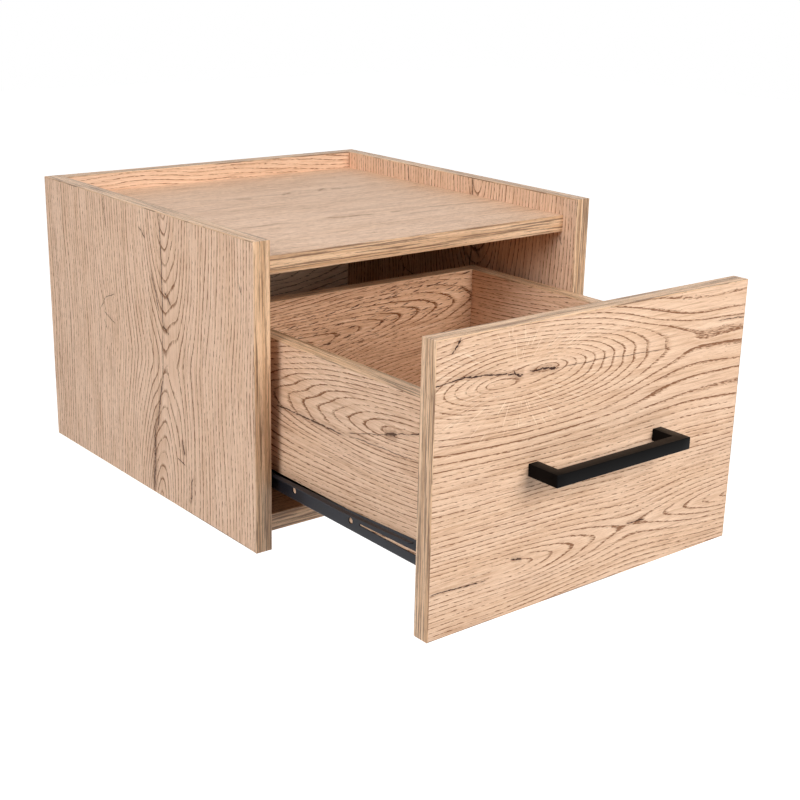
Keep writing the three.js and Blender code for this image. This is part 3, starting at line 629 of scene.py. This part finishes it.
def drawer_front_marks(board):
    """A long split runs through both knots, ragged between them, with short ones near the edges."""
    return laid_over([
        board.crack((-212, 94), (-150, 99), 0.8, wander=2.0, bend=22.0, stain=0.35),
        board.crack((-176, 100), (-96, 90), 1.1, wander=3.0, bend=22.0, stain=0.35),
        board.crack((-112, 94), (-96, 88), 1.6, wander=4.0, bend=8.0, stain=0.4),
        board.crack((-96, 91), (-50, 88), 1.5, wander=3.0, bend=10.0, stain=0.4),
        board.crack((-62, 88), (20, 87), 0.35, wander=2.0, bend=30.0),
        board.crack((0, 87), (100, 82), 0.35, wander=2.0, bend=30.0),
        board.crack((-180, 118), (-168, 134), 1.2, wander=3.0, bend=6.0, stain=0.4),
        board.crack((150, 99), (210, 96), 0.7, wander=2.0, stain=0.3),
        board.crack((-205, -90), (-120, -93), 0.9, wander=2.0, bend=30.0, stain=0.3),
        board.crack((-104, -80), (-86, -84), 1.0, stain=0.5),
        board.crack((44, -84), (76, -85), 0.9, wander=3.0, stain=0.5),
    ], 0.9)


give_finish(nodes["drawer_front"], oak_decor(
    "drawer_front_oak", ("X", "Z", "Y"), middle_of("drawer_front"), seed=41.0, rings=drawer_front_rings,
    marks=drawer_front_marks, flecks=drawer_front_flecks, ring_step=4.4, waviness=6.0))


# Drawer sides and back: the same board with its grain lengthwise. The sides are dowelled to the front, the
# back is dowelled between them, and all are grooved for the base.
def drawer_side_rings(board):
    """Nested tongues that point to the rear, and open into grain that rises towards the drawer front."""
    aside = board.across + board.along * 0.075 - 26.0
    depth = (board.along * 0.19 + 26.0).math("MAXIMUM", 1.0)
    return hypotenuse(aside, depth)


def drawer_side_marks(board):
    """A long level split below the tongues, and a branch of it that climbs through a small knot."""
    return laid_over([
        board.crack((70, 11), (-78, 12), 1.4, wander=2.0, bend=22.0, stain=0.35),
        board.crack((-50, 13), (-182, 19), 0.45, wander=2.0, stain=0.3),
        board.crack((-56, 13), (-134, 33), 0.5, stain=0.3),
        board.crack((-116, 29), (-138, 35), 1.8, wander=4.0, stain=0.7),
        board.crack((-130, 33), (-176, 47), 0.8, stain=0.3),
    ], 0.8)


def rising_rings(board):
    """Nearly straight grain that climbs towards the drawer front."""
    return board.across + board.along * 0.08 + 200.0


# Both drawer sides get tone=0.3, which darkens their decor towards tan as painted shade, standing in for the
# shade that falls on them beside and inside the cabinet.
give_finish(nodes["left_drawer_side"], oak_decor(
    "left_drawer_side_oak", ("Y", "Z", "X"), middle_of("left_drawer_side"), seed=52.0,
    rings=drawer_side_rings, marks=drawer_side_marks, ring_step=4.2, waviness=7.0, contrast=1.05, tone=0.3))
give_finish(nodes["right_drawer_side"], oak_decor(
    "right_drawer_side_oak", ("Y", "Z", "X"), middle_of("right_drawer_side"), seed=58.0,
    rings=rising_rings, ring_step=4.2, waviness=16.0, contrast=1.15, tone=0.3))


def drawer_back_rings(board):
    """Wavy tongues that climb to the right."""
    aside = board.across - board.along * 0.11 - 30.0
    depth = (board.along * 0.12 + 14.0).math("MAXIMUM", 1.0)
    return hypotenuse(aside, depth)


def drawer_back_marks(board):
    """Short dark dashes, crowded in a band that climbs with the tongues."""
    climbing = board.across - board.along * 0.16
    band = (climbing - 40.0).size().between(60.0, 15.0)
    dashes = board.noise(15, 1.9, detail=2.0, roughness=0.6, offset=17.0, ways=(board.along, climbing))
    return dashes.between(0.56, 0.66) * band * 0.8


# tone=1.0 darkens the drawer back's decor to full tan as painted shade, standing in for the shade that falls
# on its inner face under the cabinet's top.
give_finish(nodes["drawer_back"], oak_decor(
    "drawer_back_oak", ("X", "Z", "Y"), middle_of("drawer_back"), seed=66.0, rings=drawer_back_rings,
    marks=drawer_back_marks, ring_step=3.4, waviness=20.0, contrast=1.4, tone=1.0))


# Drawer edge bands: the same edging, glued round all four edges of the drawer front, and along the tops of
# the drawer's sides and back.
drawer_bands = {
    "left_drawer_front_band": leftward,
    "right_drawer_front_band": rightward,
    "drawer_front_top_band": upward,
    "drawer_front_bottom_band": downward,
    "left_drawer_side_top_band": upward,
    "right_drawer_side_top_band": upward,
    "drawer_back_top_band": upward,
}
for number, (node, outward) in enumerate(drawer_bands.items()):
    add_edge_band(node, outward, "drawer", seed=85.0 + number)


# Handle: a 12 mm square steel bar, bent sharply to a flat U and powder-coated satin black. Two machine
# screws through the drawer front hold its feet.
handle_bar = 0.012
handle_rounding = 0.0009
handle_rounding_steps = 3


def coated_steel(name, tint, roughness, gloss, peel_mm):
    """Black coating on steel: slightly uneven in sheen, with the fine orange peel of sprayed powder."""
    material, tree, shader = start_material(name)
    shader.inputs["Specular IOR Level"].default_value = gloss
    surface = Board(tree, ("X", "Y", "Z"), (0, 0, 0), seed=0.0)
    cloud = surface.noise(24, 24, detail=2.0, offset=1.0)
    peel = surface.noise(peel_mm, peel_mm, detail=1.0, offset=2.0)
    faded = tuple(channel * 1.6 for channel in tint[:3]) + (1,)
    mottled = mixed_colour(tree, cloud.between(0.35, 0.7), tint, faded)
    uneven = cloud * 0.12 + peel * 0.06 + roughness
    finish_surface(tree, shader, mottled, uneven, peel, relief=0.00002)
    return material


def add_handle():
    """Draws the bar from the left foot round both corners to the right foot, and breaks its edges."""
    low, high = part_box("handle")
    level = (low.z + high.z) / 2
    half_bar = handle_bar / 2
    leg = high.y - low.y - handle_bar
    foot_low = Vector((low.x, high.y - leg, low.z))
    foot_high = Vector((low.x + handle_bar, high.y, high.z))
    handle = add_block("square_bar_handle", foot_low, foot_high)

    def draw_out(x, y, direction, length):
        place = Vector((x, y, level))
        select_faces(handle, lambda face: (face.calc_center_median() - place).length < half_bar / 10)
        bpy.ops.mesh.extrude_region_move(TRANSFORM_OT_translate={"value": Vector(direction) * length})

    draw_out(low.x + half_bar, low.y + handle_bar, forward, handle_bar)
    draw_out(low.x + handle_bar, low.y + half_bar, rightward, high.x - low.x - 2 * handle_bar)
    draw_out(high.x - handle_bar, low.y + half_bar, rightward, handle_bar)
    draw_out(high.x - half_bar, low.y + handle_bar, rearward, leg)

    def is_corner_of_bar(edge):
        at_foot = min(corner.co.y for corner in edge.verts) > high.y - half_bar / 10
        return edge.calc_face_angle() > smooth_below and not at_foot

    select_edges(handle, is_corner_of_bar)
    bpy.ops.mesh.bevel(offset=handle_rounding, segments=handle_rounding_steps)
    coat = coated_steel("handle_powder_coat", colour(5, 4, 4), roughness=0.22, gloss=0.05, peel_mm=0.5)
    finish_piece(handle, coat, "drawer", "black_powder_coat", "handle")


add_handle()


# Screws: zinc-plated pan heads with a cross recess, made once for each size. Two machine screws pull the
# handle on from inside the drawer front, and wood screws hold the runners and the hanging plates.
screw_sides = 32
screw_point_share = 0.15
screw_dome_share = 0.55
screw_dome_steps = 4
handle_screw_head_radius = 0.004
handle_screw_head_height = 0.0024
handle_screw_radius = 0.002
handle_screw_tip = 0.001
wood_screw_head_radius = 0.0035
wood_screw_head_height = 0.0014
wood_screw_radius = 0.00175
wood_screw_tip = 0.004
runner_screw_length = 0.013
plate_screw_length = 0.015
recess_reach = 0.0016
recess_width = 0.0008
recess_depth = 0.001
straight_enough = 0.9


def bright_zinc(name):
    """Blue-white zinc plate: bright metal with a slightly patchy sheen and fine drawn streaks."""
    material, tree, shader = start_material(name)
    shader.inputs["Metallic"].default_value = 1.0
    surface = Board(tree, ("X", "Y", "Z"), (0, 0, 0), seed=3.0)
    cloud = surface.noise(6, 6, detail=3.0)
    streaks = surface.noise(4, 0.4, detail=2.0, offset=5.0)
    tint = mixed_colour(tree, cloud.between(0.3, 0.7), colour(206, 209, 214), colour(176, 180, 190))
    finish_surface(tree, shader, tint, cloud * 0.2 + streaks * 0.12 + 0.18, streaks, relief=0.00001)
    return material


zinc = bright_zinc("zinc_plate")


def faces_up(face):
    return face.normal.z > straight_enough


def round_head(piece, head_height, dome_share, steps):
    """In edit mode, rounds the rim of a head that hangs below the origin, so that it becomes a low dome."""
    select_edges(piece, lambda edge: max(corner.co.z for corner in edge.verts) < -head_height / 2)
    bpy.ops.mesh.bevel(offset=head_height * dome_share, segments=steps)


def make_screw(name, head_radius, head_height, shank_radius, length, tip):
    """A screw that points up, its head's underside at the origin."""
    bpy.ops.object.select_all(action="DESELECT")
    bpy.ops.mesh.primitive_cylinder_add(vertices=screw_sides, radius=head_radius, depth=head_height)
    screw = bpy.context.object
    screw.name = name
    bpy.ops.object.mode_set(mode="EDIT")
    bpy.ops.transform.translate(value=(0, 0, -head_height / 2))
    select_faces(screw, faces_up)
    bpy.ops.mesh.inset(thickness=head_radius - shank_radius)
    bpy.ops.mesh.extrude_region_move(TRANSFORM_OT_translate={"value": (0, 0, length - tip)})
    bpy.ops.mesh.extrude_region_move(TRANSFORM_OT_translate={"value": (0, 0, tip)})
    bpy.ops.transform.resize(value=(screw_point_share, screw_point_share, 1))
    round_head(screw, head_height, screw_dome_share, screw_dome_steps)
    bpy.ops.object.mode_set(mode="OBJECT")
    for reach in ((recess_reach, recess_width / 2), (recess_width / 2, recess_reach)):
        corner = Vector((*reach, recess_depth))
        slot = add_block("recess_cutter", -corner, corner)
        bpy.ops.transform.translate(value=(0, 0, -head_height))
        bpy.ops.object.mode_set(mode="OBJECT")
        cut_away(screw, slot)
    return screw


def cut_away(piece, cutter):
    """Cuts one solid's shape out of another, and throws the cutter away."""
    bpy.context.view_layer.objects.active = piece
    cut = piece.modifiers.new("cut", "BOOLEAN")
    cut.object = cutter
    bpy.ops.object.modifier_apply(modifier=cut.name)
    bpy.data.objects.remove(cutter)


def place_copy(model, name, place, points, finish, body, slot, *replaced):
    """Puts a copy of a piece that was made pointing up where it belongs, pointing another way."""
    piece = bpy.data.objects.new(name, model.data.copy())
    bpy.context.scene.collection.objects.link(piece)
    turn = Vector(points).to_track_quat("Z", "X").to_matrix().to_4x4()
    piece.data.transform(Matrix.Translation(place) @ turn)
    bpy.ops.object.select_all(action="DESELECT")
    piece.select_set(True)
    bpy.context.view_layer.objects.active = piece
    finish_piece(piece, finish, body, slot, *replaced)


def place_screw(model, node, points, head_height, body):
    """Puts a screw in its node's place, with its head at the end that it points away from."""
    low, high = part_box(node)
    half_length = max(high - low) / 2
    place = (low + high) / 2 + Vector(points) * (head_height - half_length)
    place_copy(model, f"{node}_turned", place, points, zinc, body, "zinc_plated_steel", node)


low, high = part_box("handle_screw_left")
handle_screw = make_screw(
    "handle_screw", handle_screw_head_radius, handle_screw_head_height, handle_screw_radius,
    high.y - low.y - handle_screw_head_height, handle_screw_tip)
for side in ("left", "right"):
    place_screw(handle_screw, f"handle_screw_{side}", forward, handle_screw_head_height, "drawer")
bpy.data.objects.remove(handle_screw)


def make_wood_screw(name, length):
    return make_screw(
        name, wood_screw_head_radius, wood_screw_head_height, wood_screw_radius, length, wood_screw_tip)


runner_screw = make_wood_screw("runner_screw", runner_screw_length)
plate_screw = make_wood_screw("plate_screw", plate_screw_length)
for side, outward in (("left", leftward), ("right", rightward)):
    wood_screws = [
        (runner_screw, "cabinet_runner_front", outward, "cabinet"),
        (runner_screw, "cabinet_runner_rear", outward, "cabinet"),
        (runner_screw, "drawer_runner_front", upward, "drawer"),
        (runner_screw, "drawer_runner_rear", upward, "drawer"),
        (plate_screw, "hanging_plate_lower", forward, "cabinet"),
        (plate_screw, "hanging_plate_upper", forward, "cabinet"),
    ]
    for model, hole, points, body in wood_screws:
        place_screw(model, f"{side}_{hole}_screw", points, wood_screw_head_height, body)
for model in (runner_screw, plate_screw):
    bpy.data.objects.remove(model)


# Rollers and their pins: moulded nylon wheels with a sunk web round the hub, running on riveted steel pins.
# The cabinet's pair is at the front of its runners, and the drawer's pair at the rear of its own.
roller_sides = 64
roller_radius = 0.0085
roller_width = 0.006
roller_rim = 0.0018
roller_hub_radius = 0.0046
roller_bore_radius = 0.0028
roller_recess = 0.0012
roller_edge = 0.0007
roller_edge_steps = 4
pin_radius = 0.0025
pin_head_radius = 0.004
pin_head_height = 0.001
pin_dome_share = 0.8
pin_dome_steps = 5


def black_nylon(name):
    """Moulded nylon: dull black, a little grey in soft random patches."""
    material, tree, shader = start_material(name)
    surface = Board(tree, ("X", "Y", "Z"), (0, 0, 0), seed=9.0)
    cloud = surface.noise(3, 3, detail=3.0)
    grain = surface.noise(0.4, 0.4, detail=1.0, offset=2.0)
    tint = mixed_colour(tree, cloud.between(0.35, 0.7), colour(30, 30, 32), colour(48, 47, 48))
    finish_surface(tree, shader, tint, grain * 0.2 + 0.4, grain, relief=0.00002)
    return material


def faces_down(face):
    return face.normal.z < -straight_enough


def make_roller():
    """A roller that stands on its sunk face at the origin, its bore upright."""
    bpy.ops.object.select_all(action="DESELECT")
    bpy.ops.mesh.primitive_cylinder_add(vertices=roller_sides, radius=roller_radius, depth=roller_width)
    roller = bpy.context.object
    roller.name = "roller"
    bpy.ops.object.mode_set(mode="EDIT")
    bpy.ops.transform.translate(value=(0, 0, roller_width / 2))
    select_faces(roller, faces_down)
    bpy.ops.mesh.inset(thickness=roller_rim)
    bpy.ops.mesh.extrude_region_move(TRANSFORM_OT_translate={"value": (0, 0, roller_recess)})
    bpy.ops.mesh.inset(thickness=roller_radius - roller_rim - roller_hub_radius)
    bpy.ops.mesh.extrude_region_move(TRANSFORM_OT_translate={"value": (0, 0, -roller_recess)})
    bpy.ops.mesh.inset(thickness=roller_hub_radius - roller_bore_radius)
    select_faces(roller, faces_up)
    bpy.ops.mesh.inset(thickness=roller_radius - roller_bore_radius)
    select_faces(roller, lambda face: (
        (faces_up(face) or faces_down(face)) and len(face.verts) == roller_sides
        and face.calc_center_median().xy.length < roller_edge))
    bpy.ops.mesh.bridge_edge_loops()
    select_edges(roller, lambda edge: (
        edge.calc_face_angle(0) > smooth_below
        and min(corner.co.xy.length for corner in edge.verts) > roller_radius - roller_edge / 10))
    bpy.ops.mesh.bevel(offset=roller_edge, segments=roller_edge_steps)
    bpy.ops.object.mode_set(mode="OBJECT")
    return roller


def make_pin(length):
    """A pin that stands on the underside of its domed head at the origin, pointing up."""
    bpy.ops.object.select_all(action="DESELECT")
    bpy.ops.mesh.primitive_cylinder_add(vertices=roller_sides, radius=pin_head_radius, depth=pin_head_height)
    pin = bpy.context.object
    pin.name = "pin"
    bpy.ops.object.mode_set(mode="EDIT")
    bpy.ops.transform.translate(value=(0, 0, -pin_head_height / 2))
    select_faces(pin, faces_up)
    bpy.ops.mesh.inset(thickness=pin_head_radius - pin_radius)
    bpy.ops.mesh.extrude_region_move(TRANSFORM_OT_translate={"value": (0, 0, length)})
    round_head(pin, pin_head_height, pin_dome_share, pin_dome_steps)
    bpy.ops.object.mode_set(mode="OBJECT")
    return pin


nylon = black_nylon("black_nylon")
roller = make_roller()
low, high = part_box("left_front_roller_pin")
pin = make_pin(high.x - low.x - pin_head_height)
for side, outward in (("left", -1), ("right", 1)):
    for end, recess_faces, body in (("front", -outward, "cabinet"), ("rear", outward, "drawer")):
        node = f"{side}_{end}_roller"
        low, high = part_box(node)
        points = Vector((-recess_faces, 0, 0))
        place = (low + high) / 2 - points * (roller_width / 2)
        place_copy(roller, f"{node}_moulded", place, points, nylon, node, "black_nylon", node)
        low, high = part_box(f"{node}_pin")
        place = (low + high) / 2 - points * ((high.x - low.x) / 2 - pin_head_height)
        place_copy(
            pin, f"{node}_pin_riveted", place, points, zinc, body, "zinc_plated_steel", f"{node}_pin")
for model in (roller, pin):
    bpy.data.objects.remove(model)


# Runners: 1.2 mm steel strip, folded cold to small radii and stove-enamelled black. The cabinet's pair is a
# channel with a rail, the drawer's pair an angle under the side with a flange, slit and sloped at its front.
sheet_thickness = 0.0012
inner_fold_radius = 0.0004
fold_steps = 4
gap_to_board = 0.0001
flange_rise = 0.0044
place_tolerance = 0.00003
flat_below = math.radians(1)


def copy_node(node, name):
    """Copies a node's mesh to a new piece in edit mode, its loose triangles joined into flat faces."""
    piece = bpy.data.objects.new(name, nodes[node].data.copy())
    bpy.context.scene.collection.objects.link(piece)
    bpy.ops.object.select_all(action="DESELECT")
    piece.select_set(True)
    bpy.context.view_layer.objects.active = piece
    bpy.ops.mesh.customdata_custom_splitnormals_clear()
    bpy.ops.object.mode_set(mode="EDIT")
    bpy.ops.mesh.select_all(action="SELECT")
    bpy.ops.mesh.remove_doubles(threshold=place_tolerance / 10)
    bpy.ops.mesh.dissolve_limited(angle_limit=flat_below)
    return piece


def close_slivers():
    """In edit mode, takes out the faces without width that rounding leaves where two edges nearly meet."""
    bpy.ops.mesh.select_mode(type="VERT")
    bpy.ops.mesh.select_all(action="SELECT")
    bpy.ops.mesh.remove_doubles(threshold=place_tolerance / 10)
    bpy.ops.mesh.dissolve_degenerate(threshold=place_tolerance / 10)


def round_fold(runner, x, z, radius, rise=0.0):
    """Rounds the sharp lengthwise edge at a distance from the middle and a height, up to a rise above it."""
    def lies_on_fold(edge):
        return edge.is_manifold and edge.calc_face_angle() > smooth_below and all(
            abs(abs(corner.co.x) - x) < place_tolerance
            and z - place_tolerance < corner.co.z < z + rise + place_tolerance
            for corner in edge.verts)

    select_edges(runner, lies_on_fold)
    bpy.ops.mesh.bevel(offset=radius, segments=fold_steps)


runner_enamel = coated_steel("runner_enamel", colour(24, 24, 29), roughness=0.32, gloss=0.2, peel_mm=0.9)
outer_fold_radius = inner_fold_radius + sheet_thickness
for side in ("left", "right"):
    low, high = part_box(f"{side}_cabinet_runner")
    web = max(abs(low.x), abs(high.x))
    channel = copy_node(f"{side}_cabinet_runner", f"{side}_cabinet_runner_folded")
    for outer_z, inner_z in ((low.z, low.z + sheet_thickness), (high.z, high.z - sheet_thickness)):
        round_fold(channel, web, outer_z, outer_fold_radius)
        round_fold(channel, web - sheet_thickness, inner_z, inner_fold_radius)
    close_slivers()
    finish_piece(channel, runner_enamel, "cabinet", "black_runner_steel", f"{side}_cabinet_runner")

    low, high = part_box(f"{side}_drawer_runner")
    flange_top = high.z - flange_rise
    web = max(abs(corner.x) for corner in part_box(f"{side}_drawer_side")) + gap_to_board + sheet_thickness
    angle = copy_node(f"{side}_drawer_runner", f"{side}_drawer_runner_folded")
    round_fold(angle, web, low.z, outer_fold_radius)
    round_fold(angle, web - sheet_thickness, low.z + sheet_thickness, inner_fold_radius)
    round_fold(angle, web - sheet_thickness, flange_top, outer_fold_radius, flange_rise)
    round_fold(angle, web, flange_top - sheet_thickness, inner_fold_radius, flange_rise)
    close_slivers()
    finish_piece(angle, runner_enamel, "drawer", "black_runner_steel", f"{side}_drawer_runner")


# Hanging plates: zinc-plated keyhole plates, let in a little below the back panel's rear face. Their pressed
# edges are slightly rounded.
plate_edge_radius = 0.0003
plate_edge_steps = 2

for side in ("left", "right"):
    node = f"{side}_hanging_plate"
    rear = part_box(node)[1].y
    plate = copy_node(node, f"{node}_pressed")
    select_edges(plate, lambda edge: edge.is_manifold and edge.calc_face_angle() > smooth_below and min(
        corner.co.y for corner in edge.verts) > rear - place_tolerance)
    bpy.ops.mesh.bevel(offset=plate_edge_radius, segments=plate_edge_steps)
    close_slivers()
    finish_piece(plate, zinc, "cabinet", "zinc_plated_steel", node)


# Drawer base: 3 mm hardboard, held in grooves of all four drawer boards. It is foiled on top, and its raw
# brown fibre shows below.
def foiled_hardboard(name):
    material, tree, shader = start_material(name)
    sheet = Board(tree, ("X", "Y", "Z"), middle_of("drawer_base"), seed=95.0)
    fibres = sheet.noise(30, 0.7, detail=3.0, roughness=0.6)
    cloud = sheet.noise(120, 30, detail=2.0, offset=2.0).between(0.3, 0.7)
    foil = mixed_colour(tree, cloud, colour(236, 202, 168), colour(224, 186, 150))
    foil = mixed_colour(tree, fibres.between(0.45, 0.75) * 0.4, foil, colour(190, 148, 112))
    felt = sheet.noise(1.2, 1.2, detail=3.0, offset=6.0)
    raw = mixed_colour(tree, felt.between(0.35, 0.65), colour(146, 104, 68), colour(112, 76, 48))
    is_foil = sheet.through.between(1.0, 1.2)
    tint = mixed_colour(tree, is_foil, raw, foil)
    height = felt * is_foil.flipped() + fibres * 0.3
    finish_surface(tree, shader, tint, felt * 0.2 + fibres * 0.1 + 0.45, height, relief=0.00006)
    return material


give_finish(nodes["drawer_base"], foiled_hardboard("foiled_hardboard"))
